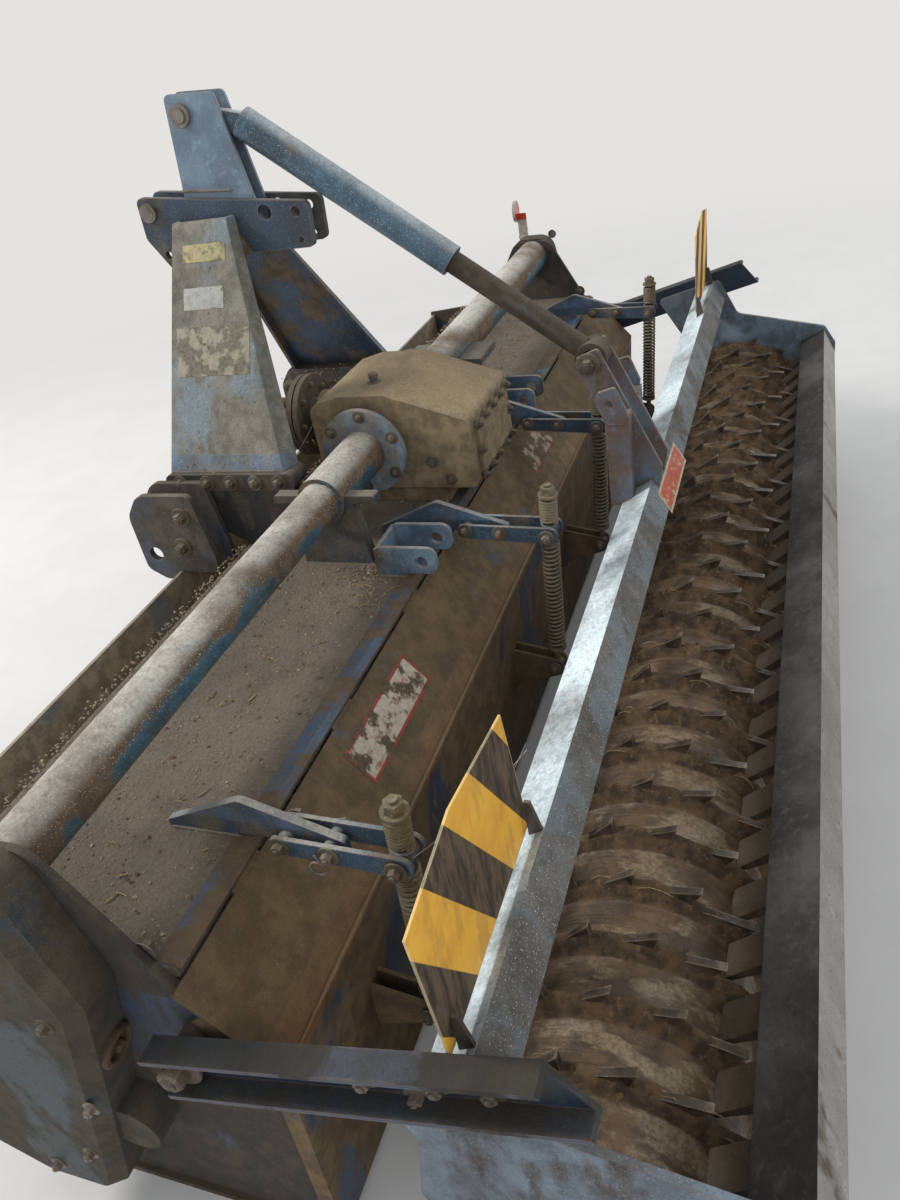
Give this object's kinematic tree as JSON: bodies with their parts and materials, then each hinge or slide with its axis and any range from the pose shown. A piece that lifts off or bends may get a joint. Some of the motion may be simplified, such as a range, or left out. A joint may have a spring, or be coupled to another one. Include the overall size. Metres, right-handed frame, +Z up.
{
  "type": "rotary tiller",
  "caption": "Three-point rotary tiller with a sprung tailgate, top gearbox, mast and stay, and a rear tooth packer roller with scrapers on a lift frame.",
  "frame": {"origin": "on the floor, below the middle of the whole box", "axes": "+X across to the side with the sleeved drive tube, -Y towards the tractor, +Z up"},
  "size_m": [3.1566, 1.58, 1.616],
  "materials": {
    "frame_blue": "worn satin",
    "mast_blue": "dusty satin",
    "dust_blue": "dust over paint",
    "gearbox_dust": "dust over paint",
    "dark_steel": "worn dark paint",
    "earth_steel": "earth stained",
    "bare_steel": "worn steel",
    "spring_steel": "dusty steel",
    "bar_grey": "worn paint",
    "board_yellow": "faded reflective sheet",
    "reflector_red": "gloss"
  },
  "bodies": {
    "frame": {"hood_shell": "dust_blue", "hinge_pin": "frame_blue", "front_beam": "dust_blue", "side_plate_R": "frame_blue", "side_plate_L": "frame_blue", "skids": "earth_steel", "side_case_R": "dark_steel", "side_case_L": "dark_steel", "arm_pivots": "earth_steel", "gearbox": "gearbox_dust", "axle_tube_R": "frame_blue", "axle_tube_L": "frame_blue", "tube_saddles": "frame_blue", "mast_leg_R": "mast_blue", "mast_leg_L": "mast_blue", "top_link_plates": "mast_blue", "mast_head": "mast_blue", "mast_pins": "bare_steel", "mast_feet": "dark_steel", "lower_link_brackets": "dark_steel", "spring_ribs": "frame_blue", "bracket_boxes": "frame_blue", "stay_tube": "frame_blue", "reflectors": "reflector_red"},
    "rotor": {"rotor_shaft": "earth_steel", "tines": "bare_steel"},
    "input_drive": {"input_shaft": "bare_steel", "slip_clutch": "earth_steel"},
    "tailgate_flap": {"tailgate": "frame_blue"},
    "gate_rods": {"tail_rods": "bare_steel", "tail_springs": "spring_steel"},
    "gate_swivels": {"rod_swivels": "earth_steel"},
    "roller_frame": {"roller_arms": "frame_blue", "roller_beam": "mast_blue", "scraper_bar": "bar_grey", "roller_end_plate_R": "frame_blue", "roller_end_plate_L": "frame_blue", "scraper_blades": "earth_steel", "stay_tower": "frame_blue", "warning_boards": "board_yellow", "board_straps": "frame_blue"},
    "packer_roller": {"roller_drum": "earth_steel", "tooth_rings": "earth_steel"},
    "stay_slider": {"stay_rod": "bare_steel"}
  },
  "joints": [
    {"name": "rotor_spin", "type": "hinge", "parent": "frame", "child": "rotor", "pos_m": [0, -0.25, 0.3], "axis": [1, 0, 0], "continuous": true},
    {"name": "input_spin", "type": "hinge", "parent": "frame", "child": "input_drive", "pos_m": [0, -0.5, 0.855], "axis": [0, 1, 0], "continuous": true},
    {"name": "tailgate_hinge", "type": "hinge", "parent": "frame", "child": "tailgate_flap", "pos_m": [0, -0.07, 0.668], "axis": [1, 0, 0], "range_deg": [0, 8]},
    {"name": "gate_rod_lugs", "type": "hinge", "parent": "tailgate_flap", "child": "gate_rods", "pos_m": [0, 0.165, 0.318], "axis": [1, 0, 0], "range_deg": [-1, 0.5], "deforming": ["tail_springs"]},
    {"name": "gate_rod_swivels", "type": "hinge", "parent": "frame", "child": "gate_swivels", "pos_m": [0, 0.185, 0.685], "axis": [1, 0, 0], "range_deg": [-0.5, 8]},
    {"name": "roller_lift", "type": "hinge", "parent": "frame", "child": "roller_frame", "pos_m": [0, -0.06, 0.555], "axis": [1, 0, 0], "range_deg": [-4, 6]},
    {"name": "stay_slide", "type": "slide", "parent": "frame", "child": "stay_slider", "axis": [0, 0.7903, -0.6127], "range_m": [-0.0556, 0.0373]},
    {"name": "roller_spin", "type": "hinge", "parent": "roller_frame", "child": "packer_roller", "pos_m": [0, 0.47, 0.245], "axis": [1, 0, 0], "continuous": true}
  ],
  "couplings": [
    {"joint": "input_spin", "follows": "rotor_spin", "ratio": 4},
    {"joint": "gate_rod_lugs", "follows": "tailgate_hinge", "ratio": -0.084},
    {"joint": "gate_rod_swivels", "follows": "tailgate_hinge", "ratio": 0.916},
    {"joint": "stay_slide", "follows": "roller_lift", "m_per_rad": -0.5219}
  ]
}
